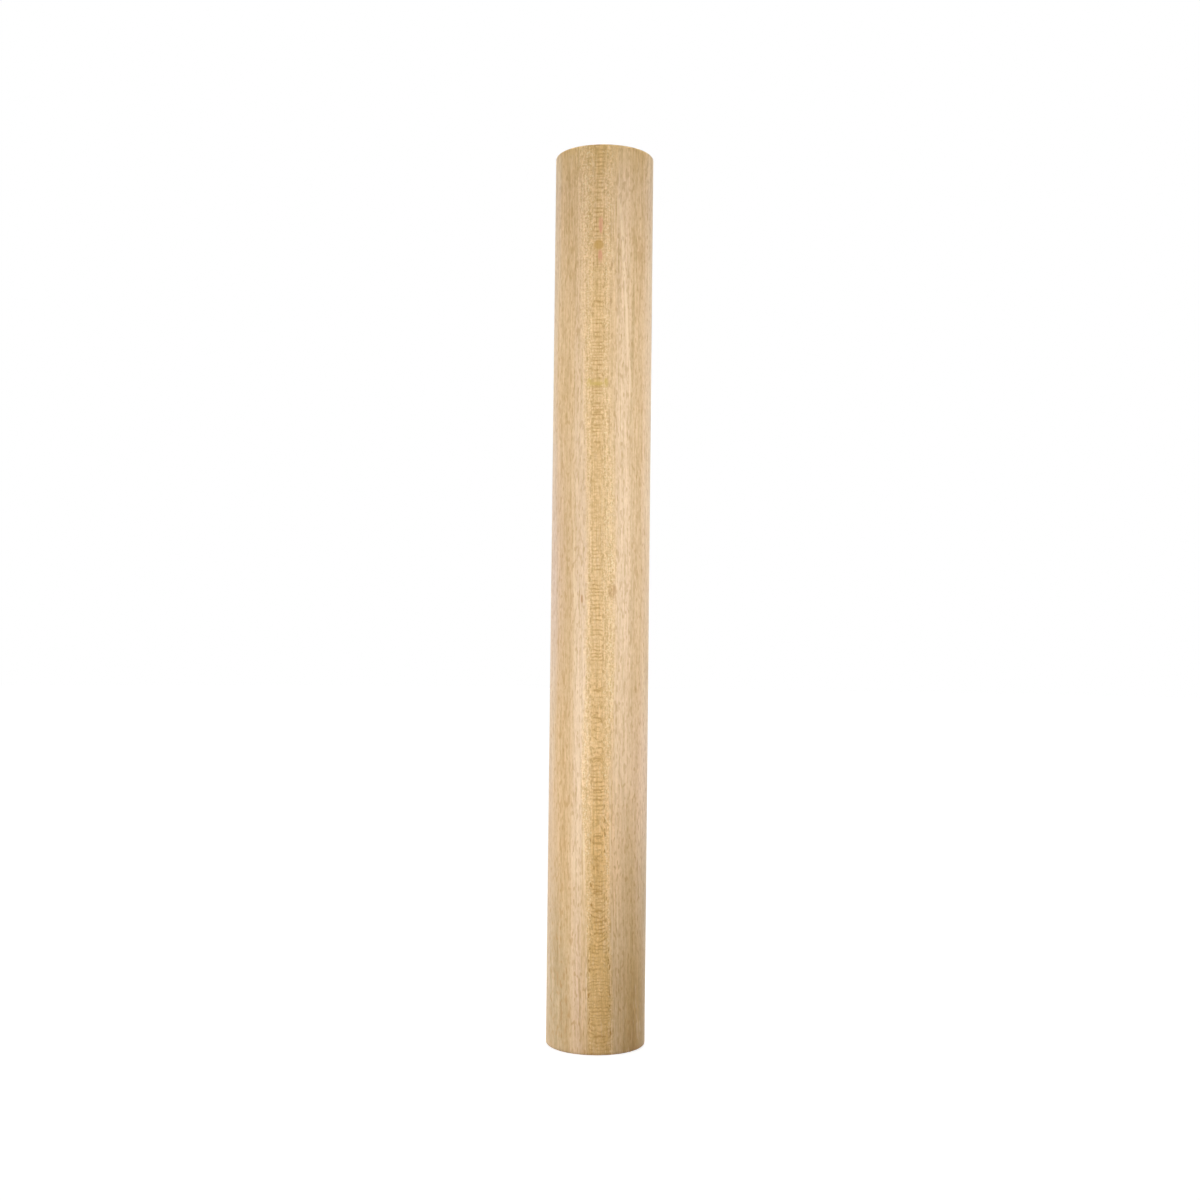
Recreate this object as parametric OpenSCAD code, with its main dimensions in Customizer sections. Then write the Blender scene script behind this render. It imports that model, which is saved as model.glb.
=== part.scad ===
// Straight French rolling pin: one solid beech dowel, turned true from end to end.
// It has no handles, no axle and no taper, and the whole piece rolls under the palms.
// Millimetres. The pin stands on one end face, with the centre of that face at the origin,
// its own axis along Z, and Z up.

/* [Rolling surface] */
// Diameter of the rolling surface
pin_diameter = 50; // [35:0.5:70]
// Length over the two end faces
pin_length = 450; // [250:5:600]

/* [Ends] */
// Radius of the sanded rounding between the rolling surface and an end face
edge_radius = 1; // [0.4:0.1:6]

/* [Hidden] */

// Radius of the rolling surface
pin_radius = pin_diameter / 2;
// Radius of the flat that is left on each end face
end_flat_radius = pin_radius - edge_radius;
// Heights at which the rolling surface starts and stops
rolling_start = edge_radius;
rolling_stop = pin_length - edge_radius;
// Segments of a full turn, on the pin and on its roundings
pin_segments = 180;
rounding_segments = 48;

// Half of the lengthwise section, from the axis out to the surface.
module half_section() {
    // The core runs from end face to end face
    square([end_flat_radius, pin_length]);
    // The rolling surface stops where the roundings start
    translate([0, rolling_start])
        square([pin_radius, rolling_stop - rolling_start]);
    // One true arc eases each edge
    for (height = [rolling_start, rolling_stop])
        translate([end_flat_radius, height])
            circle(r = edge_radius, $fn = rounding_segments);
}

// The whole pin: the half section turned about the Z axis.
module dowel() {
    color("burlywood")
        rotate_extrude($fn = pin_segments)
            half_section();
}

dowel();
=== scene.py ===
import math

import bmesh
import bpy
from mathutils import Matrix, Vector

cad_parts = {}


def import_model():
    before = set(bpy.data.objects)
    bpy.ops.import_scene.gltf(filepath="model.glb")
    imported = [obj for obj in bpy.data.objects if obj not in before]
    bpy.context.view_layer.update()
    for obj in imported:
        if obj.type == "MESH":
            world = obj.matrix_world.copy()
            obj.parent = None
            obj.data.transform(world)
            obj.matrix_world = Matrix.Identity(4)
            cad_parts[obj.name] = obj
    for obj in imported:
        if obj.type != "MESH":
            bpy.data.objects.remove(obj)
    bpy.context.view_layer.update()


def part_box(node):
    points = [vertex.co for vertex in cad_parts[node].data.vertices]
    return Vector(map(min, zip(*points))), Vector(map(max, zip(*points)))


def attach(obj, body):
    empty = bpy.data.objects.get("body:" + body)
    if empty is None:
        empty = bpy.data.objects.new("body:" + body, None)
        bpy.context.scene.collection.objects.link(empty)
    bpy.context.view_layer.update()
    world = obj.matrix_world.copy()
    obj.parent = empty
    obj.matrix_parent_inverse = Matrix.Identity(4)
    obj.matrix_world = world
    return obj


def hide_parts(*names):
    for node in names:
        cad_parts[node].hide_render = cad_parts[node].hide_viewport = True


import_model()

MM = 0.001
FULL_TURN = 2 * math.pi
QUARTER_TURN = math.pi / 2

# The pin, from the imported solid. The radius is the solid's least, so the mesh stays inside its box.
PIN_LOW, PIN_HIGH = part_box("dowel")
PIN_RADIUS = min(PIN_HIGH.x, PIN_HIGH.y, -PIN_LOW.x, -PIN_LOW.y)
PIN_LENGTH = PIN_HIGH.z - PIN_LOW.z
EDGE_RADIUS = 1.0 * MM
FLAT_RADIUS = PIN_RADIUS - EDGE_RADIUS

# Fineness of the mesh. A support ring lies this far from each end of a rounding.
COLUMNS = 256
EDGE_STEPS = 8
BARREL_ROWS = 90
FACE_RINGS = 6
SUPPORT_GAP = 0.25 * MM

# Layout of the bake's map: two half-length strips of the barrel, with the end faces above them
MAP_GAP = 0.004
STRIP_TOP = 0.86
STRIP_WIDTH = 0.5
DISC_RADIUS = (1.0 - STRIP_TOP) / 2 - MAP_GAP
DISC_MIDDLE = 1.0 - MAP_GAP - DISC_RADIUS
BOTTOM_DISC = 0.25
TOP_DISC = 0.75

# The photo's camera: its place in metres, its tilt and roll in degrees, its lens and sensor in millimetres,
# and the nearest and farthest distance that it sees, in metres
CAMERA_PLACE = Vector((0.0, -0.7724, 0.20175))
CAMERA_TILT = 1.626
CAMERA_ROLL = 0.625
CAMERA_LENS = 45.49
CAMERA_SENSOR = 36.0
CAMERA_NEAR = 0.01
CAMERA_FAR = 50.0


# Mesh of the pin

def to_object(name, mesh):
    """Turns a finished mesh into an object of the scene."""
    data = bpy.data.meshes.new(name)
    mesh.to_mesh(data)
    mesh.free()
    result = bpy.data.objects.new(name, data)
    bpy.context.scene.collection.objects.link(result)
    return result


def ring_of(mesh, radius, height, columns):
    """One ring of vertices. Its first column is at the back, where the pin's map has its seam."""
    ring = []
    for column in range(columns):
        angle = FULL_TURN * column / columns
        ring.append(mesh.verts.new((-radius * math.sin(angle), radius * math.cos(angle), height)))
    return ring


def edge_arc(height, direction):
    """The eased edge at one end as (radius, height) points, from the end face to the rolling surface."""
    centre_height = height + direction * EDGE_RADIUS
    points = []
    for step in range(EDGE_STEPS + 1):
        angle = QUARTER_TURN * step / EDGE_STEPS
        radius = FLAT_RADIUS + EDGE_RADIUS * math.sin(angle)
        points.append((radius, centre_height - direction * EDGE_RADIUS * math.cos(angle)))
    return points


def face_rings(height):
    """Rings of one flat end face as (radius, height) points, from near the centre to near the edge."""
    points = [(FLAT_RADIUS * ring / FACE_RINGS, height) for ring in range(1, FACE_RINGS)]
    points.append((FLAT_RADIUS - SUPPORT_GAP, height))
    return points


def barrel_rows():
    """Rings of the rolling surface as (radius, height) points, with a support ring at each end."""
    start = PIN_LOW.z + EDGE_RADIUS
    stop = PIN_HIGH.z - EDGE_RADIUS
    rows = [start + (stop - start) * row / BARREL_ROWS for row in range(1, BARREL_ROWS)]
    heights = [start + SUPPORT_GAP] + rows + [stop - SUPPORT_GAP]
    return [(PIN_RADIUS, height) for height in heights]


def lengths_along(points):
    """Distance along the section from its first point to each point."""
    lengths = [0.0]
    for (radius_a, height_a), (radius_b, height_b) in zip(points, points[1:]):
        lengths.append(lengths[-1] + math.hypot(radius_b - radius_a, height_b - height_a))
    return lengths


class Section:
    """The half section of the pin, from the bottom face to the top face, and its place on the map."""

    def __init__(self):
        bottom = face_rings(PIN_LOW.z)
        side = edge_arc(PIN_LOW.z, 1) + barrel_rows() + list(reversed(edge_arc(PIN_HIGH.z, -1)))
        top = list(reversed(face_rings(PIN_HIGH.z)))
        self.points = bottom + side + top
        self.lengths = lengths_along(self.points)
        self.side_start = len(bottom)
        self.side_stop = len(bottom) + len(side) - 1
        half = (self.lengths[self.side_start] + self.lengths[self.side_stop]) / 2
        self.middle = min(range(len(self.points)), key=lambda index: abs(self.lengths[index] - half))

    def on_strip(self, row, column, upper):
        """Place on the map of a corner of the side."""
        first, last = (self.middle, self.side_stop) if upper else (self.side_start, self.middle)
        start, stop = self.lengths[first], self.lengths[last]
        left = STRIP_WIDTH if upper else 0.0
        u = left + MAP_GAP + (STRIP_WIDTH - 2 * MAP_GAP) * column / COLUMNS
        v = MAP_GAP + (STRIP_TOP - 2 * MAP_GAP) * (self.lengths[row] - start) / (stop - start)
        return u, v

    def on_disc(self, radius, column, top):
        """Place on the map of a corner of an end face."""
        angle = FULL_TURN * column / COLUMNS
        reach = DISC_RADIUS * radius / FLAT_RADIUS
        centre = TOP_DISC if top else BOTTOM_DISC
        return centre - reach * math.sin(angle), DISC_MIDDLE + reach * math.cos(angle)

    def on_map(self, row, column, low_row):
        """Place on the map of a corner of the face that starts at low_row."""
        if low_row < self.side_start or low_row >= self.side_stop:
            return self.on_disc(self.points[row][0], column, low_row >= self.side_stop)
        return self.on_strip(row, column, low_row >= self.middle)


def add_face(mesh, layer, vertices, places):
    """One smooth face, with each corner's place on the map."""
    face = mesh.faces.new(vertices)
    face.smooth = True
    for loop, place in zip(face.loops, places):
        loop[layer].uv = place


def add_wall(mesh, layer, section, rings):
    """The faces between the rings, from the innermost ring of one end face to that of the other."""
    for row in range(len(rings) - 1):
        for column in range(COLUMNS):
            corners = [(row, column), (row, column + 1), (row + 1, column + 1), (row + 1, column)]
            vertices = [rings[ring][spot % COLUMNS] for ring, spot in corners]
            places = [section.on_map(ring, spot, row) for ring, spot in corners]
            add_face(mesh, layer, vertices, places)


def add_centre(mesh, layer, section, ring, top):
    """The innermost disc of an end face, as a fan about its centre."""
    radius, height = section.points[-1 if top else 0]
    centre = mesh.verts.new((0.0, 0.0, height))
    for column in range(COLUMNS):
        pair = [column, column + 1] if top else [column + 1, column]
        vertices = [centre] + [ring[spot % COLUMNS] for spot in pair]
        places = [section.on_disc(0.0, 0, top)] + [section.on_disc(radius, spot, top) for spot in pair]
        add_face(mesh, layer, vertices, places)


def build_pin():
    """The dowel as one closed mesh turned about Z, with its own map for the bake."""
    section = Section()
    mesh = bmesh.new()
    layer = mesh.loops.layers.uv.new("OFBake")
    rings = [ring_of(mesh, radius, height, COLUMNS) for radius, height in section.points]
    add_wall(mesh, layer, section, rings)
    add_centre(mesh, layer, section, rings[0], False)
    add_centre(mesh, layer, section, rings[-1], True)
    return to_object("beech_dowel", mesh)


# A short way to write a node tree

# The middle of plain noise, and the factor that spreads it about zero, mostly between -1 and 1
NOISE_MIDDLE = 0.5
SWING_FACTOR = 3.0

# Sockets of the colour Mix node
MIX_SHARE = 0
MIX_FIRST = 6
MIX_SECOND = 7
MIX_RESULT = 2


class Pattern:
    """A pattern of noise, such as streaks or spots.

    fineness is in cycles per millimetre: across the pin, in depth, along it. The pattern changes between two
    levels of the noise, from the first of its shares to the second. depth is its strength.
    """

    def __init__(self, fineness, detail=0.0, roughness=0.5, levels=(0.0, 1.0), shares=(0.0, 1.0), depth=1.0):
        self.fineness = fineness
        self.detail = detail
        self.roughness = roughness
        self.levels = levels
        self.shares = shares
        self.depth = depth


class Nodes:
    """Adds nodes to a tree. Apart from add and separate, each call returns the new node's socket."""

    def __init__(self, owner):
        """Starts an empty tree for a material or a world."""
        owner.use_nodes = True
        self.tree = owner.node_tree
        self.tree.nodes.clear()

    def add(self, kind, inputs, **settings):
        """A node with its inputs, each a socket to link or a plain value, by name or by number."""
        node = self.tree.nodes.new("ShaderNode" + kind)
        for name, value in settings.items():
            setattr(node, name, value)
        for key, value in inputs.items():
            if isinstance(value, bpy.types.NodeSocket):
                self.tree.links.new(value, node.inputs[key])
            else:
                node.inputs[key].default_value = value
        return node

    def math(self, operation, *values):
        """One Math node."""
        return self.add("Math", dict(enumerate(values)), operation=operation).outputs[0]

    def total(self, *values):
        """All the values added up."""
        result = values[0]
        for value in values[1:]:
            result = self.math("ADD", result, value)
        return result

    def product(self, *values):
        """All the values multiplied together."""
        result = values[0]
        for value in values[1:]:
            result = self.math("MULTIPLY", result, value)
        return result

    def distance(self, value, middle):
        """How far the value is from the middle, on either side."""
        return self.math("ABSOLUTE", self.math("SUBTRACT", value, middle))

    def opposite(self, share):
        """1 where the share is 0, and 0 where it is 1."""
        return self.math("SUBTRACT", 1.0, share)

    def vector(self, operation, *values):
        """One Vector Math node."""
        return self.add("VectorMath", dict(enumerate(values)), operation=operation).outputs["Vector"]

    def combine(self, x, y, z):
        """A vector made of three parts."""
        return self.add("CombineXYZ", {0: x, 1: y, 2: z}).outputs[0]

    def separate(self, vector):
        """The three sockets of a vector's parts."""
        return self.add("SeparateXYZ", {0: vector}).outputs

    def step(self, value, low, high):
        """0 at low, 1 at high, and a smooth rise between them."""
        inputs = {"Value": value, "From Min": low, "From Max": high}
        return self.add("MapRange", inputs, interpolation_type="SMOOTHSTEP").outputs[0]

    def span(self, value, low, high, to_low, to_high):
        """to_low at low, to_high at high, and a straight line between them."""
        inputs = {"Value": value, "From Min": low, "From Max": high, "To Min": to_low, "To Max": to_high}
        return self.add("MapRange", inputs).outputs[0]

    def blend(self, share, at_zero, at_one):
        """One number where the share is 0, another where it is 1."""
        return self.span(share, 0.0, 1.0, at_zero, at_one)

    def noise(self, place, pattern):
        """The pattern's plain noise, between 0 and 1."""
        scaled = self.vector("MULTIPLY", place, pattern.fineness)
        inputs = {"Vector": scaled, "Scale": 1.0, "Detail": pattern.detail, "Roughness": pattern.roughness}
        return self.add("TexNoise", inputs).outputs["Fac"]

    def swing(self, place, pattern):
        """The pattern's noise about zero, mostly within its depth."""
        centred = self.math("SUBTRACT", self.noise(place, pattern), NOISE_MIDDLE)
        return self.product(centred, SWING_FACTOR * pattern.depth)

    def spots(self, place, pattern):
        """The pattern's depth where its noise is high, and 0 where it is low."""
        return self.product(self.step(self.noise(place, pattern), *pattern.levels), pattern.depth)

    def patchy(self, place, pattern):
        """The pattern's first share where its noise is low, and its second where it is high."""
        return self.span(self.noise(place, pattern), *pattern.levels, *pattern.shares)

    def mix(self, share, first, second, blend="MIX"):
        """Two colours together. Each is a socket, or plain red, green and blue."""
        inputs = {MIX_SHARE: share, MIX_FIRST: first, MIX_SECOND: second}
        for key in (MIX_FIRST, MIX_SECOND):
            if isinstance(inputs[key], tuple):
                inputs[key] = (*inputs[key], 1.0)
        return self.add("Mix", inputs, data_type="RGBA", blend_type=blend).outputs[MIX_RESULT]

    def tint(self, colour, tint):
        """The colour multiplied by a tint."""
        return self.mix(1.0, colour, tint, "MULTIPLY")

    def ramp(self, share, stops):
        """A ramp of colours. The places of its stops go from 0 to 1."""
        node = self.add("ValToRGB", {"Fac": share})
        elements = node.color_ramp.elements
        while len(elements) < len(stops):
            elements.new(0.5)
        for element, (place, colour) in zip(elements, stops):
            element.position = place
            element.color = (*colour, 1.0)
        return node.outputs["Color"]


# Beech: its tones. Colours are linear. Places are in millimetres: from the strip's middle, from the bottom.

RADIUS_MM = PIN_RADIUS / MM
LENGTH_MM = PIN_LENGTH / MM

PALE_PINK = (0.81, 0.59, 0.37)
ROSE = (0.77, 0.575, 0.375)
PALE = (0.80, 0.575, 0.345)
SAND = (0.81, 0.575, 0.325)
TAN = (0.76, 0.535, 0.30)
DEEP_TAN = (0.745, 0.52, 0.285)
PALE_GOLD = (0.87, 0.62, 0.325)
DEEP_GOLD = (0.86, 0.575, 0.25)
RAY_BROWN = (0.50, 0.25, 0.06)
BAR_BROWN = (0.51, 0.25, 0.05)
LINE_CREAM = (0.93, 0.72, 0.46)
FLECK_CREAM = (0.95, 0.77, 0.47)
KNOT_TAN = (0.66, 0.37, 0.10)
KNOT_RED = (0.78, 0.35, 0.21)
STAIN_BROWN = (0.51, 0.24, 0.07)
STAIN_GOLD = (0.70, 0.49, 0.13)
END_TINT = (0.92, 0.92, 0.98)

# How far dark grain takes red, green and blue down, against its depth
WARM_SHADE = (0.75, 1.0, 1.55)

# Tones across the blank, by place from the strip. The pale pink column from -10.5 to -6.5 and the pale one
# from 9.5 to 14.5 lie where the barrel's highlights fall: they are partly the wood's tone and partly painted
# highlight.
BANDS_WITH_HIGHLIGHT_COLUMNS = [
    (-28.0, ROSE),
    (-21.0, ROSE),
    (-19.5, TAN),
    (-15.5, DEEP_TAN),
    (-12.0, TAN),
    # Partly painted highlight: the pale pink column where the left highlight falls
    (-10.5, PALE_PINK),
    (-6.5, PALE_PINK),
    (-5.0, SAND),
    (8.0, SAND),
    # Partly painted highlight: the pale column where the right highlight falls
    (9.5, PALE),
    (14.5, PALE),
    (17.0, TAN),
    (21.5, TAN),
    (23.0, PALE_PINK),
    (28.0, ROSE),
]
BAND_REACH = 30.0

# How far the bands lie to the left of that, as (height, millimetres) points, and how far they waver
BAND_SHIFT = [(0, 3.0), (90, 3.0), (150, 0.8), (200, 0.0), (450, 0.0)]
BAND_CLOUDS = Pattern((0.12, 0.12, 0.012), detail=2.0, depth=0.8)

# Tint along the pin: share of its height, then the tint. It is darker and warmer towards the bottom and
# yellower at the very top. Its first stop, the lowest two millimetres, is painted shade along the bottom edge
# where the pin meets the floor.
HEIGHT_TINTS_AND_FOOT_SHADE = [
    # Painted shade: the bottom edge darkened where the pin meets the floor
    (0.0, (0.70, 0.61, 0.48)),
    (0.004, (0.89, 0.84, 0.71)),
    (0.02, (0.915, 0.87, 0.74)),
    (0.12, (0.95, 0.915, 0.81)),
    (0.3, (1.0, 0.98, 0.94)),
    (0.5, (1.0, 1.0, 1.0)),
    (0.75, (1.0, 1.0, 0.97)),
    (0.96, (1.02, 1.0, 0.94)),
    (1.0, (1.02, 0.97, 0.76)),
]

# Broad patches of another tint on the side that faces the camera: place and half size (across, along the pin),
# then the tint. Most are painted light and shade. The paler, bluer ones are painted highlights and painted
# reflections, and the darker ones low down are painted shade. The golden one at the bottom right is partly the
# wood's tone and partly painted shade.
TONE_AND_PAINTED_LIGHT_PATCHES = [
    ((-21.5, 240.0), (8.0, 100.0), (1.0, 1.01, 1.18)),
    ((21.0, 135.0), (8.0, 60.0), (1.10, 1.12, 1.25)),
    ((21.0, 10.0), (11.0, 75.0), (0.84, 0.74, 0.45)),
    ((-10.0, 25.0), (5.0, 70.0), (1.0, 1.0, 1.12)),
    ((-21.0, 25.0), (10.0, 85.0), (0.83, 0.89, 1.0)),
    ((7.0, 95.0), (7.0, 55.0), (1.10, 1.08, 1.08)),
    ((-24.0, 100.0), (8.0, 75.0), (0.98, 1.0, 1.13)),
    ((14.0, 0.0), (9.0, 45.0), (0.92, 0.89, 0.80)),
]
PATCH_SOFT = 0.9

# Depth behind the foremost line of the pin at which something has gone, and at which it is still full
PATCH_FRONT = (34.0, 22.0)
STRIP_FRONT = (9.0, 3.0)
BOLD_FRONT = (6.0, 4.0)
MARK_FRONT = (9.0, 6.0)


# Beech: its grain all round

# Where the blank sat in its log: the pith is this far to the left of the strip that faces the camera
PITH_DISTANCE = 115.0
RING_WIDTH = 2.2
RING_WIDTHS = Pattern((0.35, 0.0, 0.0), detail=1.0, depth=0.5)

# Shares of a ring's width at which its dark edge starts, is darkest, starts to end and has ended
RING_EDGE = (0.35, 0.88, 0.92, 1.0)

# How far the rays drift and ripple, and how far the rings drift
DRIFT = Pattern((0.012, 0.03, 0.032))
RIPPLE = Pattern((0.03, 0.08, 0.13), depth=0.12)
RING_DRIFT = Pattern((0.02, 0.02, 0.006), detail=1.0, depth=1.2)

# Rays cut end-on, their strength along the pin as (height, strength) points, and their share in the strip
SMALL_RAYS = Pattern((1.25, 0.8, 0.30), levels=(0.62, 0.74), depth=0.40)
LARGE_RAYS = Pattern((0.85, 0.5, 0.15), levels=(0.66, 0.77), depth=0.34)
RAY_DEPTH = [(0, 1.3), (100, 1.2), (160, 1.0), (450, 1.0)]
RAY_IN_STRIP = 0.3

# Streaks along the grain at three scales, and the uneven density of the wood across its rays
SHORT_FIBRES = Pattern((1.8, 0.9, 0.45), detail=1.0, depth=1.25)
LONG_FIBRES = Pattern((1.8, 0.9, 0.035), detail=1.0, depth=1.5)
BROAD_FIBRES = Pattern((0.60, 0.40, 0.012), depth=0.2)
LAYERS = Pattern((0.35, 1.6, 0.035), detail=2.0, roughness=0.6, depth=0.03)

# Thin lines lie where this noise is within the first distance of its middle. They are full within the second.
GRAIN_LINES = Pattern((0.6, 0.6, 0.012), detail=1.0)
GRAIN_LINE_REACH = (0.07, 0.02)
GRAIN_LINE_BREAKS = Pattern((0.5, 0.5, 0.12), detail=2.0, roughness=0.7, levels=(0.47, 0.60))

# The dark lines and the pale ones are one pattern, shifted by this many millimetres
DARK_LINE_SHIFT = (0.0, 0.0, 0.0)
PALE_LINE_SHIFT = (31.0, 17.0, 900.0)

# Strength of each part of the grain
STREAK_DEPTH = 0.11
RING_DEPTH = 0.04
DARK_LINE_DEPTH = 0.13
PALE_LINE_DEPTH = 0.3

# The sawn ends: how far from an end their look starts and is full, and their own grain
END_START = 0.6
END_FULL = 0.2
END_RING_DEPTH = 0.20
END_RAYS = Pattern((0.12, 1.4, 0.0), detail=1.0, depth=0.10)
END_PORES = Pattern((1.6, 1.6, 0.0), detail=1.0, depth=0.07)


# Beech: the golden strip, which faces the camera

# Turn of the strip about the axis, in degrees: at the bottom, its slope and its bend along the pin
STRIP_TURN = (-5.7, 26.6, -15.2)

# The strip along the pin, as (height, millimetres) points: its middle, its half width, its soft edge
STRIP_MIDDLE = [(0, 0.5), (60, 0.2), (130, -1.2), (190, 1.6), (270, 2.2), (330, -0.5), (450, -2.0)]
STRIP_HALF = [(0, 5.8), (70, 5.8), (130, 7.0), (230, 7.0), (330, 6.0), (450, 9.0)]
STRIP_SOFT = [(0, 0.9), (60, 0.9), (250, 1.6), (450, 4.0)]

# Half width and soft edge of its core, which carries the bars
CORE_HALF = [(0, 5.2), (45, 5.0), (62, 3.6), (200, 3.0), (450, 2.4)]
CORE_SOFT = 1.3

# How far the edges of the strip and of its core wander
RAGGED = Pattern((0.4, 0.4, 0.09), detail=2.0, roughness=0.7)
STRIP_RAGGED = 1.2
CORE_RAGGED = 0.4

# Strength of the gold, in the strip and in its core, as (height, strength) points
GOLD_DEPTH = [(0, 0.85), (200, 0.85), (300, 0.7), (450, 0.4)]
CORE_DEPTH = [(0, 1.0), (110, 0.95), (180, 0.6), (300, 0.3), (450, 0.35)]
CORE_CLOUDS = Pattern((0.05, 0.05, 0.035), detail=1.0, levels=(0.35, 0.65), shares=(0.3, 0.95))

# Strength of the bars and loops, of the bold bars, and of the dark dashes along both edges of the core
FIGURE_DEPTH = [(0, 0.80), (50, 0.76), (65, 0.88), (120, 0.92), (190, 0.84), (300, 0.76), (450, 0.72)]
BOLD_DEPTH = [(0, 0.75), (180, 0.72), (230, 0.58), (330, 0.60), (450, 0.55)]
RAIL_DEPTH = [(0, 1.0), (95, 1.0), (150, 0.65), (450, 0.50)]

# Where the figure of the strip is loops (1) and where it is bars (0), along the pin
LOOP_SHARE = [
    (0, 0.0), (83, 0.0), (88, 0.7), (112, 0.7), (118, 0.0), (137, 0.0),
    (142, 0.8), (182, 0.8), (190, 0.1), (240, 0.0), (252, 0.4), (300, 0.4),
    (306, 0.0), (370, 0.0), (380, 0.4), (396, 0.4), (405, 0.0), (450, 0.0),
]

# Spacing of the bars, and the level of their wave at which a bar starts
BAR_PERIOD = 1.9
BAR_START = -0.3

# Most rise of a bar at 1 mm from its middle, along the pin. It grows with the square of that distance.
BAR_BEND = [(0, 0.20), (50, 0.14), (70, 0.12), (300, 0.10), (330, 0.04), (450, 0.04)]
BAR_BENDS = Pattern((0.0, 0.0, 0.022))

# How far a bar wavers in height along its own length, and how uneven the spacing is
BAR_LIFT = [(0, 0.6), (60, 0.6), (90, 0.4), (300, 0.3), (330, 0.15), (450, 0.15)]
BAR_LIFTS = Pattern((0.45, 0.0, 0.30))
BAR_SPACING = Pattern((0.0, 0.0, 0.09), detail=1.0, depth=2.4)

# Where the bars are weak, and where the surface breaks them
BAR_GROUPS = Pattern((0.14, 2.5, 0.16), detail=1.0, levels=(0.34, 0.56), shares=(0.1, 1.0))
BAR_BREAKS = Pattern((0.9, 0.2, 0.5), detail=1.0, levels=(0.36, 0.58), shares=(0.55, 1.0))

# Loops lie where this noise is near its middle
LOOPS = Pattern((0.10, 3.0, 0.24), detail=1.0)
LOOP_REACH = (0.085, 0.01)
LOOP_BREAKS = Pattern((0.7, 0.2, 0.6), detail=1.0, levels=(0.36, 0.60), shares=(0.15, 1.0))
LEAST_LOOPS = 0.15

# Heights of the boldest bars
BOLD_BARS = (
    435.0, 422.0, 329.5, 320.5, 316.0, 309.5, 301.0, 219.0, 178.5, 165.0, 145.0,
    129.5, 125.0, 107.0, 103.5, 80.0, 70.5, 65.0, 59.5, 9.5,
)

# Half thickness of a bold bar where it has faded out and where it is full, its bend, its reach as a share of
# the core's, the shares of that reach at which it has ended and is full, and how far it wavers
BOLD_THICKNESS = (1.0, 0.15)
BOLD_BEND = 0.06
BOLD_REACH = 0.65
BOLD_ENDS = (1.15, 0.75)
BOLD_LIFTS = Pattern((0.5, 0.0, 0.2), detail=1.0, depth=0.5)

# The grainy look beside the bars: its strength in the plain wood and in the strip, and its share in the core
SMALL_PEBBLES = Pattern((1.10, 0.2, 1.10), detail=1.0, depth=0.9)
LARGE_PEBBLES = Pattern((0.85, 0.2, 0.25), detail=1.0, depth=0.25)
PEBBLE_DEPTH = (0.04, 0.31)
GRAINY_IN_CORE = 0.45

# Cream flecks in the strip, and dark dashes: their share in the strip, and the gain on the core's edges
FLECKS = Pattern((1.4, 0.4, 0.75), detail=1.0, levels=(0.58, 0.70), depth=0.8)
DASHES = Pattern((1.25, 0.3, 0.42), detail=1.0, levels=(0.54, 0.66))
DASH_IN_STRIP = 0.28
RAIL_GAIN = 4.0

# Pale lines beside the strip: (height, place) at their lower and upper end, half width and strength
PALE_EDGES = [
    ((150.0, -10.8), (260.0, -11.2), 0.55, 0.70),
    ((0.0, -6.6), (150.0, -6.6), 0.60, 0.80),
    ((0.0, 6.2), (220.0, 6.2), 0.50, 0.60),
    ((0.0, 9.0), (220.0, 9.0), 0.60, 0.40),
    ((300.0, 17.4), (430.0, 9.9), 0.80, 0.70),
]
PALE_EDGE_FADE = 15.0
PALE_EDGE_FULL = 0.3
PALE_EDGE_SWAY = Pattern((0.02, 0.02, 0.02), detail=1.0, depth=0.8)
PALE_EDGE_BREAKS = Pattern((0.3, 0.3, 0.02), detail=1.0, levels=(0.38, 0.55))

# The pin knot: place, half size, soft edge and strength
KNOT_PLACE = (0.0, 399.5)
KNOT_HALF_SIZE = (2.9, 2.9)
KNOT_SOFT = 0.35
KNOT_DEPTH = 0.75

# Single marks: colour, place and half size (across, along the pin), and strength
MARKS = [
    (KNOT_RED, (1.0, 409.5), (1.4, 5.6), 0.85),
    (KNOT_RED, (0.8, 393.5), (1.4, 4.8), 0.70),
    (STAIN_BROWN, (8.0, 227.0), (2.8, 4.8), 0.45),
    (STAIN_BROWN, (6.6, 228.0), (0.7, 3.6), 0.75),
    (STAIN_BROWN, (8.3, 227.5), (0.6, 4.0), 0.70),
    (STAIN_BROWN, (-7.4, 223.5), (0.7, 2.8), 0.95),
    (STAIN_GOLD, (0.0, 330.5), (5.4, 3.2), 0.25),
    (STAIN_GOLD, (0.0, 330.2), (4.4, 1.2), 0.60),
    (STAIN_GOLD, (-4.2, 330.6), (1.5, 3.2), 0.65),
    (STAIN_GOLD, (4.2, 330.6), (1.5, 3.2), 0.80),
    (STAIN_BROWN, (6.2, 372.0), (0.4, 8.0), 0.50),
    (STAIN_BROWN, (5.9, 313.0), (0.4, 9.0), 0.45),
    (STAIN_BROWN, (7.0, 354.0), (0.5, 2.2), 0.75),
    (STAIN_BROWN, (6.6, 389.0), (0.4, 3.4), 0.70),
]
MARK_SOFT = 0.5
MARK_BREAKS = Pattern((0.7, 0.7, 0.22), detail=1.0, levels=(0.35, 0.58), shares=(0.35, 1.0))

# Surface of the wood: how rough and how raised its grain is
ROUGHNESS = 0.42
STREAK_ROUGHNESS = 0.03
RAY_ROUGHNESS = -0.05
END_ROUGHNESS = 0.2
STREAK_RELIEF = 0.5
RAY_RELIEF = -0.5
RELIEF_HEIGHT = 0.02 * MM
WOOD_IOR = 1.45
WOOD_SPECULAR = 0.5


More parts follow.
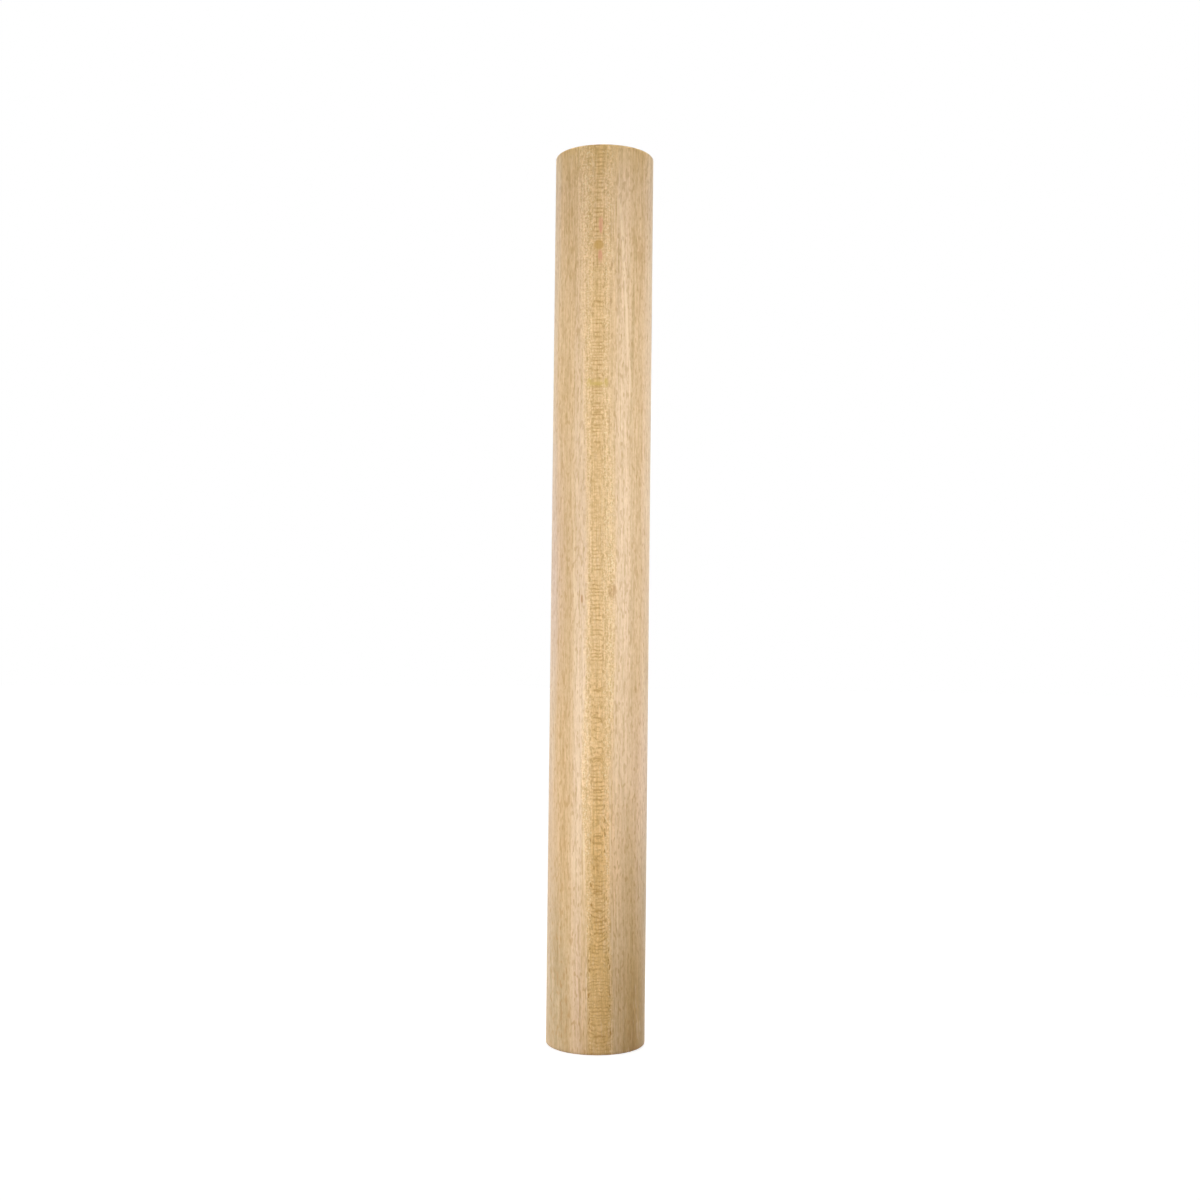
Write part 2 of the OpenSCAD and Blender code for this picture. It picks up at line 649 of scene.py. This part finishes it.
def strip_turn(n, share):
    """Turn of the golden strip about the axis, at a share of the pin's height."""
    bottom, slope, bend = [math.radians(value) for value in STRIP_TURN]
    return n.math("MULTIPLY_ADD", n.math("MULTIPLY_ADD", share, bend, slope), share, bottom)


def log_directions(n, across, behind):
    """Distance outwards from the log's pith, and distance round it, both 0 on the strip's middle."""
    from_pith = n.math("ADD", across, PITH_DISTANCE)
    squares = n.math("ADD", n.product(from_pith, from_pith), n.product(behind, behind))
    radial = n.math("SUBTRACT", n.math("SQRT", squares), PITH_DISTANCE)
    return radial, n.product(n.math("ARCTAN2", behind, from_pith), PITH_DISTANCE)


class Wood:
    """Places in the blank, in millimetres, as sockets.

    place is in the pin's own frame. height goes up the pin, and share is its share of the pin's length. turned
    is place, turned with the strip: across is 0 on the strip's middle, and behind is the depth behind the
    foremost line. grain holds the log's own directions, outwards and round, with the height. They drift and
    ripple, so that rays and rings never run dead straight. radial is the first of them.
    """

    def __init__(self, n):
        metres = n.add("TexCoord", {}).outputs["Object"]
        self.place = n.vector("MULTIPLY", metres, (1 / MM, 1 / MM, 1 / MM))
        self.height = n.separate(self.place)[2]
        self.share = n.math("DIVIDE", self.height, LENGTH_MM)
        turn = {"Vector": self.place, "Angle": strip_turn(n, self.share)}
        self.turned = n.add("VectorRotate", turn, rotation_type="Z_AXIS").outputs[0]
        self.across, depth, _ = n.separate(self.turned)
        self.behind = n.math("ADD", depth, RADIUS_MM)
        radial, tangential = log_directions(n, self.across, self.behind)
        even = n.combine(radial, tangential, self.height)
        self.radial = n.total(radial, n.swing(self.place, RING_DRIFT))
        tangential = n.total(tangential, n.swing(even, DRIFT), n.swing(even, RIPPLE))
        self.grain = n.combine(self.radial, tangential, self.height)


def along_pin(n, wood, points):
    """A number that changes along the pin, straight between its (height, value) points."""
    low = min(value for _, value in points)
    high = max(value for _, value in points)
    levels = [(height / LENGTH_MM, (value - low) / (high - low)) for height, value in points]
    share = n.ramp(wood.share, [(place, (level, level, level)) for place, level in levels])
    return n.blend(share, low, high)


def in_front(n, wood, limits):
    """1 on the side that faces the camera, 0 behind the limits."""
    return n.step(wood.behind, *limits)


def oval(n, wood, place, half_size, soft):
    """1 in an oval, 0 outside it. It is on the back too, until in_front takes it away there."""
    x = n.math("DIVIDE", n.math("SUBTRACT", wood.across, place[0]), half_size[0])
    z = n.math("DIVIDE", n.math("SUBTRACT", wood.height, place[1]), half_size[1])
    reach = n.math("SQRT", n.math("ADD", n.product(x, x), n.product(z, z)))
    return n.step(reach, 1.0, 1.0 - soft)


def within(n, wood, middle, half_width, soft):
    """1 near a line along the front of the pin, 0 beyond its half width."""
    past_edge = n.math("SUBTRACT", n.distance(wood.across, middle), half_width)
    inside = n.step(n.math("DIVIDE", past_edge, soft), 1.0, -1.0)
    return n.product(inside, in_front(n, wood, STRIP_FRONT))


def golden_strip(n, wood):
    """Where the surface runs along the rays: the whole golden strip, and the core that carries its bars."""
    ragged = n.swing(wood.turned, RAGGED)
    wide = n.total(along_pin(n, wood, STRIP_HALF), n.product(ragged, STRIP_RAGGED))
    strip = within(n, wood, along_pin(n, wood, STRIP_MIDDLE), wide, along_pin(n, wood, STRIP_SOFT))
    narrow = n.total(along_pin(n, wood, CORE_HALF), n.product(ragged, CORE_RAGGED))
    return strip, within(n, wood, 0.0, narrow, CORE_SOFT)


def rays(n, wood, strip):
    """Rays cut end-on: short dark spindles along the pin, fewer in the strip. 0 between them."""
    dark = n.math("MAXIMUM", n.spots(wood.turned, SMALL_RAYS), n.spots(wood.turned, LARGE_RAYS))
    return n.product(dark, along_pin(n, wood, RAY_DEPTH), n.blend(strip, 1.0, RAY_IN_STRIP))


def fibres(n, wood):
    """Streaks along the grain: short ones, long ones and broad ones. About zero."""
    patterns = (SHORT_FIBRES, LONG_FIBRES, BROAD_FIBRES)
    return n.total(*[n.swing(wood.turned, pattern) for pattern in patterns])


def ring_lines(n, wood):
    """Growth rings about two millimetres wide, each with a slightly darker edge."""
    place = n.math("DIVIDE", wood.radial, RING_WIDTH)
    share = n.math("FRACT", n.total(place, n.swing(wood.grain, RING_WIDTHS)))
    start, darkest, ending, ended = RING_EDGE
    return n.product(n.step(share, start, darkest), n.step(share, ended, ending))


def grain_lines(n, wood, shift):
    """Thin broken lines along the grain. 1 on a line, 0 between them."""
    place = n.vector("ADD", wood.turned, shift)
    line = n.step(n.distance(n.noise(place, GRAIN_LINES), NOISE_MIDDLE), *GRAIN_LINE_REACH)
    return n.product(line, n.spots(place, GRAIN_LINE_BREAKS))


def by_depth(n, wood):
    """Places with their depth behind the foremost line, which is alike on both sides of the strip's middle."""
    depth = n.product(wood.across, wood.across, 0.5 / RADIUS_MM)
    return n.combine(wood.across, depth, wood.height)


def bars(n, wood):
    """Bars across the strip, where the surface runs along the rays. 0 between them, at most 1 on one."""
    squared = n.product(wood.across, wood.across)
    bend = n.product(n.swing(wood.place, BAR_BENDS), along_pin(n, wood, BAR_BEND), squared)
    lift = n.product(n.swing(wood.turned, BAR_LIFTS), along_pin(n, wood, BAR_LIFT))
    height = n.total(wood.height, bend, n.swing(wood.place, BAR_SPACING), lift)
    wave = n.math("SINE", n.product(height, FULL_TURN / BAR_PERIOD))
    bar = n.span(wave, BAR_START, 1.0, 0.0, 1.0)
    return n.product(bar, n.patchy(by_depth(n, wood), BAR_GROUPS), n.patchy(wood.turned, BAR_BREAKS))


def loops(n, wood):
    """Closed loops and brackets in the strip: the outlines of denser layers that the surface grazes."""
    level = n.noise(by_depth(n, wood), LOOPS)
    outline = n.step(n.distance(level, NOISE_MIDDLE), *LOOP_REACH)
    return n.product(outline, n.patchy(wood.turned, LOOP_BREAKS))


def strip_figure(n, wood, core):
    """Bars and loops together, by turns along the pin. 0 between them and beside the core."""
    loop_share = along_pin(n, wood, LOOP_SHARE)
    bar = n.product(bars(n, wood), n.opposite(loop_share))
    loop = n.product(loops(n, wood), n.blend(loop_share, LEAST_LOOPS, 1.0))
    return n.product(n.math("MAXIMUM", bar, loop), core, along_pin(n, wood, FIGURE_DEPTH))


def bold_bars(n, wood):
    """The few bars that stand out, short and dark."""
    rise = n.product(wood.across, wood.across, BOLD_BEND)
    height = n.total(wood.height, n.swing(wood.turned, BOLD_LIFTS), rise)
    nearest = LENGTH_MM
    for place in BOLD_BARS:
        nearest = n.math("MINIMUM", nearest, n.distance(height, place))
    reach = n.product(along_pin(n, wood, CORE_HALF), BOLD_REACH)
    inside = n.step(n.math("DIVIDE", n.distance(wood.across, 0.0), reach), *BOLD_ENDS)
    depth = n.product(in_front(n, wood, BOLD_FRONT), along_pin(n, wood, BOLD_DEPTH))
    return n.product(n.step(nearest, *BOLD_THICKNESS), inside, depth)


def rails(n, wood, strip, core):
    """Short dark dashes along the pin, strongest on both edges of the core."""
    edge = n.product(core, n.opposite(core), RAIL_GAIN)
    on_edge = n.product(edge, along_pin(n, wood, RAIL_DEPTH))
    depth = n.math("MAXIMUM", on_edge, n.product(strip, DASH_IN_STRIP))
    return n.product(n.spots(wood.turned, DASHES), depth)


def pale_edges(n, wood):
    """The pale lines that run along both edges of the strip. 0 beside them."""
    across = n.total(wood.across, n.swing(wood.turned, PALE_EDGE_SWAY))
    result = 0.0
    for (low, low_place), (high, high_place), half_width, strength in PALE_EDGES:
        place = n.span(wood.height, low, high, low_place, high_place)
        line = n.step(n.distance(across, place), half_width, half_width * PALE_EDGE_FULL)
        above_low = n.step(wood.height, low - PALE_EDGE_FADE, low + PALE_EDGE_FADE)
        below_high = n.step(wood.height, high + PALE_EDGE_FADE, high - PALE_EDGE_FADE)
        result = n.math("MAXIMUM", result, n.product(line, above_low, below_high, strength))
    return n.product(result, n.spots(wood.turned, PALE_EDGE_BREAKS), in_front(n, wood, MARK_FRONT))


def end_faces(n, wood):
    """1 on the two sawn end faces, 0 on the rolling surface."""
    middle = LENGTH_MM / 2
    return n.step(n.distance(wood.height, middle), middle - END_START, middle - END_FULL)


def end_grain(n, wood):
    """Grain of a sawn end: arcs of the growth rings, fine rays that cross them, and pores."""
    arcs = n.product(ring_lines(n, wood), END_RING_DEPTH)
    return n.total(arcs, n.swing(wood.grain, END_RAYS), n.swing(wood.place, END_PORES))


def side_grain(n, wood, streaks, strip, grainy):
    """Grain of the rolling surface, apart from its rays and the strip's figure."""
    pebbles = n.total(n.swing(wood.turned, SMALL_PEBBLES), n.swing(wood.turned, LARGE_PEBBLES))
    return n.total(
        n.product(streaks, STREAK_DEPTH),
        n.swing(wood.grain, LAYERS),
        n.product(pebbles, n.blend(strip, *PEBBLE_DEPTH), grainy),
        n.product(ring_lines(n, wood), RING_DEPTH),
        n.product(grain_lines(n, wood, DARK_LINE_SHIFT), DARK_LINE_DEPTH),
    )


def warm_shade(n, colour, depth):
    """Makes the colour darker and warmer by depth, or paler where depth is negative."""
    red, green, blue = [n.math("MULTIPLY_ADD", depth, -share, 1.0) for share in WARM_SHADE]
    return n.tint(colour, n.combine(red, green, blue))


def band_colours(n, wood):
    """The blank's broad bands, which follow the growth rings, with two pale columns that are partly painted
    highlight.
    """
    place = n.total(wood.radial, n.swing(wood.turned, BAND_CLOUDS), along_pin(n, wood, BAND_SHIFT))
    share = n.span(place, -BAND_REACH, BAND_REACH, 0.0, 1.0)
    return n.ramp(share, [((where + BAND_REACH) / (2 * BAND_REACH), colour) for where, colour in BANDS_WITH_HIGHLIGHT_COLUMNS])


def ground_colour(n, wood, strip, core):
    """The wood's slow changes of tone, without its grain, with painted shade along the bottom edge and painted
    highlights, reflections and shade on the side that faces the camera.
    """
    colour = band_colours(n, wood)
    colour = n.mix(n.product(strip, along_pin(n, wood, GOLD_DEPTH)), colour, PALE_GOLD)
    deep = n.product(core, n.patchy(wood.turned, CORE_CLOUDS), along_pin(n, wood, CORE_DEPTH))
    colour = n.mix(deep, colour, DEEP_GOLD)
    # Tint along the pin, with painted shade along its bottom edge
    colour = n.tint(colour, n.ramp(wood.share, HEIGHT_TINTS_AND_FOOT_SHADE))
    # Painted highlights, reflections and shade on the side that faces the camera, with a little of the wood's
    # own tone
    front = in_front(n, wood, PATCH_FRONT)
    for place, half_size, tint in TONE_AND_PAINTED_LIGHT_PATCHES:
        inside = n.product(oval(n, wood, place, half_size, PATCH_SOFT), front)
        colour = n.mix(inside, colour, n.tint(colour, tint))
    return colour


def with_marks(n, wood, colour):
    """Adds the single marks, broken by the grain, and the round pin knot."""
    front = in_front(n, wood, MARK_FRONT)
    broken = n.product(front, n.patchy(wood.turned, MARK_BREAKS))
    for mark, place, half_size, strength in MARKS:
        inside = n.product(oval(n, wood, place, half_size, MARK_SOFT), broken, strength)
        colour = n.mix(inside, colour, mark)
    knot = n.product(oval(n, wood, KNOT_PLACE, KNOT_HALF_SIZE, KNOT_SOFT), front, KNOT_DEPTH)
    return n.mix(knot, colour, KNOT_TAN)


def beech():
    """Bare sanded beech, as solid wood: the end faces and the rolling surface cut the same grain."""
    material = bpy.data.materials.new("beech")
    n = Nodes(material)
    wood = Wood(n)
    strip, core = golden_strip(n, wood)
    grainy = n.blend(core, 1.0, GRAINY_IN_CORE)
    end = end_faces(n, wood)
    streaks = fibres(n, wood)
    ray = rays(n, wood, strip)

    side = n.product(side_grain(n, wood, streaks, strip, grainy), n.opposite(end))
    grain = n.total(side, n.product(end_grain(n, wood), end))
    colour = warm_shade(n, ground_colour(n, wood, strip, core), grain)
    thin_lines = n.product(grain_lines(n, wood, PALE_LINE_SHIFT), PALE_LINE_DEPTH)
    colour = n.mix(n.math("MAXIMUM", thin_lines, pale_edges(n, wood)), colour, LINE_CREAM)
    colour = n.mix(ray, colour, RAY_BROWN)
    colour = n.mix(n.product(n.spots(wood.turned, FLECKS), strip, grainy), colour, FLECK_CREAM)
    figure = n.math("MAXIMUM", strip_figure(n, wood, core), bold_bars(n, wood))
    colour = n.mix(n.math("MAXIMUM", rails(n, wood, strip, core), figure), colour, BAR_BROWN)
    colour = with_marks(n, wood, colour)
    colour = n.mix(end, colour, n.tint(colour, END_TINT))

    roughness = n.total(
        ROUGHNESS,
        n.product(streaks, STREAK_ROUGHNESS),
        n.product(ray, RAY_ROUGHNESS),
        n.product(end, END_ROUGHNESS),
    )
    relief = n.total(n.product(streaks, STREAK_RELIEF), n.product(ray, RAY_RELIEF))
    bump = n.add("Bump", {"Strength": 1.0, "Distance": RELIEF_HEIGHT, "Height": relief}).outputs[0]
    shader = n.add("BsdfPrincipled", {"Base Color": colour, "Roughness": roughness, "Normal": bump})
    shader.inputs["IOR"].default_value = WOOD_IOR
    shader.inputs["Specular IOR Level"].default_value = WOOD_SPECULAR
    n.add("OutputMaterial", {"Surface": shader.outputs[0]})
    return material


# Studio

# Light that reaches the pin evenly from all round, where the background is seen at strength 1
AMBIENT = 0.255

# How far the lamps stand from the pin's axis, in metres
LAMP_DISTANCE = 0.75

# The floor: its rings, and the distance from the pin at which its shadow has faded out, in metres
FLOOR_RINGS = [0.1, 0.3, 1.0, 3.0, 6.0]
FLOOR_COLUMNS = 64
FLOOR_FADE = 0.6

# Glow and tone of the floor, at the pin and beyond that distance
FLOOR_GLOW = (0.75, 0.99)
FLOOR_TONE = (0.5, 0.08)


def camera():
    """The photo's camera, with its small tilt and roll."""
    data = bpy.data.cameras.new("camera")
    data.lens = CAMERA_LENS
    data.sensor_width = CAMERA_SENSOR
    data.clip_start = CAMERA_NEAR
    data.clip_end = CAMERA_FAR
    eye = bpy.data.objects.new("camera", data)
    bpy.context.scene.collection.objects.link(eye)
    tilt = Matrix.Rotation(QUARTER_TURN + math.radians(CAMERA_TILT), 4, "X")
    roll = Matrix.Rotation(math.radians(CAMERA_ROLL), 4, "Z")
    eye.matrix_world = Matrix.Translation(CAMERA_PLACE) @ tilt @ roll
    bpy.context.scene.camera = eye


def softbox(name, azimuth, height, size, power, beam=180, dip=0, distance=LAMP_DISTANCE):
    """A lamp that faces the pin's axis. Angles are in degrees, the azimuth to the right of the camera."""
    data = bpy.data.lights.new(name, "AREA")
    data.shape = "RECTANGLE"
    data.size, data.size_y = size
    data.energy = power
    data.spread = math.radians(beam)
    lamp = bpy.data.objects.new(name, data)
    bpy.context.scene.collection.objects.link(lamp)
    turn = math.radians(azimuth)
    lamp.location = (distance * math.sin(turn), -distance * math.cos(turn), height)
    lamp.rotation_euler = (QUARTER_TURN - math.radians(dip), 0.0, turn)
    lamp.visible_camera = False
    return lamp


def fill(name, **settings):
    """A lamp that lights the wood without a highlight, as a lamp behind a large screen does."""
    softbox(name, **settings).visible_glossy = False


def sheen_card(name, **settings):
    """A lamp that only shows in the gloss, as a white card beside the camera does."""
    softbox(name, **settings).visible_diffuse = False


def lamps():
    """Soft light from all round. The softboxes and the cards also give the highlights on the barrel."""
    softbox("right_strip", azimuth=50, height=0.26, size=(0.30, 0.30), power=0.182, beam=40)
    softbox("left_strip", azimuth=-44, height=0.14, size=(0.32, 0.28), power=0.144, beam=40)
    softbox("top_front", azimuth=15, height=0.45, size=(0.20, 0.20), power=0.048, beam=40)
    fill("right_side", azimuth=78, height=0.25, size=(0.20, 0.30), power=0.088, beam=40)
    fill("left_high", azimuth=-85, height=0.42, size=(0.25, 0.25), power=1.32)
    fill("left_low", azimuth=-65, height=0.04, size=(0.25, 0.08), power=1.28)
    fill("left_spot", azimuth=-60, height=0.36, size=(0.12, 0.12), power=0.020, beam=22)
    fill("right_low_spot", azimuth=60, height=0.12, size=(0.12, 0.12), power=0.009, beam=22)
    fill("right_high_spot", azimuth=60, height=0.40, size=(0.12, 0.12), power=0.011, beam=22)
    fill("back_high", azimuth=180, height=1.10, size=(0.80, 0.80), power=4.5, dip=45)
    fill("back_fill", azimuth=180, height=0.22, size=(0.30, 0.30), power=0.19, beam=50)
    fill("top_fill", azimuth=0, height=1.20, size=(0.20, 0.20), power=0.10, beam=24, dip=90, distance=0.0)
    sheen_card("left_card", azimuth=-46, height=0.06, size=(0.20, 0.12), power=1.05)
    sheen_card("right_card", azimuth=48, height=0.60, size=(0.16, 0.20), power=0.94)


def white_for_eyes(n, plain, white):
    """White for rays that see the surface, straight or in a reflection, and plain for rays that light it."""
    path = n.add("LightPath", {}).outputs
    seen = n.math("MAXIMUM", path["Is Camera Ray"], path["Is Glossy Ray"])
    seen = n.math("MAXIMUM", seen, path["Is Transmission Ray"])
    return n.blend(seen, plain, white)


def world():
    """White where it is seen, and a soft even light on everything else."""
    sky = bpy.data.worlds.new("studio")
    n = Nodes(sky)
    strength = white_for_eyes(n, AMBIENT, 1.0)
    background = n.add("Background", {"Color": (1.0, 1.0, 1.0, 1.0), "Strength": strength})
    n.add("OutputWorld", {"Surface": background.outputs[0]})
    bpy.context.scene.world = sky
    bpy.context.scene.view_settings.view_transform = "Standard"


def floor_material():
    """Pale and matt at the pin, where it keeps the shadow, and white by its own glow away from it."""
    material = bpy.data.materials.new("floor")
    n = Nodes(material)
    place = n.add("TexCoord", {}).outputs["Object"]
    away = n.add("VectorMath", {0: place}, operation="LENGTH").outputs["Value"]
    far = n.step(away, 0.0, FLOOR_FADE)
    glow = n.product(white_for_eyes(n, 0.0, 1.0), n.blend(far, *FLOOR_GLOW))
    tone = n.blend(far, *FLOOR_TONE)
    diffuse = n.add("BsdfDiffuse", {"Color": n.combine(tone, tone, tone)}).outputs[0]
    light = n.add("Emission", {"Strength": glow}).outputs[0]
    surface = n.add("AddShader", {0: diffuse, 1: light}).outputs[0]
    n.add("OutputMaterial", {"Surface": surface})
    return material


def floor():
    """The round floor that the pin stands on."""
    mesh = bmesh.new()
    centre = mesh.verts.new((0.0, 0.0, PIN_LOW.z))
    rings = [ring_of(mesh, radius, PIN_LOW.z, FLOOR_COLUMNS) for radius in FLOOR_RINGS]
    for column in range(FLOOR_COLUMNS):
        after = (column + 1) % FLOOR_COLUMNS
        mesh.faces.new([centre, rings[0][column], rings[0][after]])
        for inner, outer in zip(rings, rings[1:]):
            mesh.faces.new([inner[column], outer[column], outer[after], inner[after]])
    ground = to_object("floor", mesh)
    ground.data.materials.append(floor_material())


pin = build_pin()
pin.data.materials.append(beech())
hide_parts("dowel")
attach(pin, "root")
camera()
lamps()
world()
floor()
